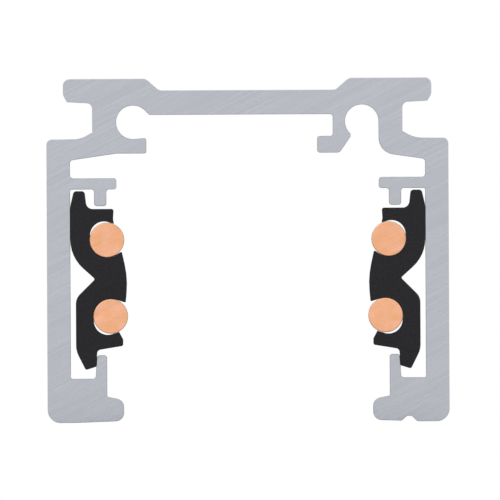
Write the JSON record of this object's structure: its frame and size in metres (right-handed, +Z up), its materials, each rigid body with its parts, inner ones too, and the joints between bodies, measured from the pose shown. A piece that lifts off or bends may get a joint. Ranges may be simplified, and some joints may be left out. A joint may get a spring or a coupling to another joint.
{
  "type": "surface lighting track",
  "caption": "Surface lighting track: aluminium channel extrusion open below, with plastic insulator strips along both inner walls that hold bare round copper conductors.",
  "frame": {"origin": "on the floor, under the middle of the mouth, at the middle of the length", "axes": "+X across the track, to the right as the near end is looked at; +Y along the track, away from the viewer; +Z up, from the mouth to the back"},
  "size_m": [0.036, 1, 0.0308],
  "materials": {
    "aluminium": "mill finish, drawn along the length, sawn ends",
    "black_plastic": "extruded, semi-matte",
    "copper": null
  },
  "bodies": {
    "root": {"housing": "aluminium", "insulator_left": "black_plastic", "insulator_right": "black_plastic", "conductor_left_upper": "copper", "conductor_left_lower": "copper", "conductor_right_upper": "copper", "conductor_right_lower": "copper"}
  },
  "joints": []
}
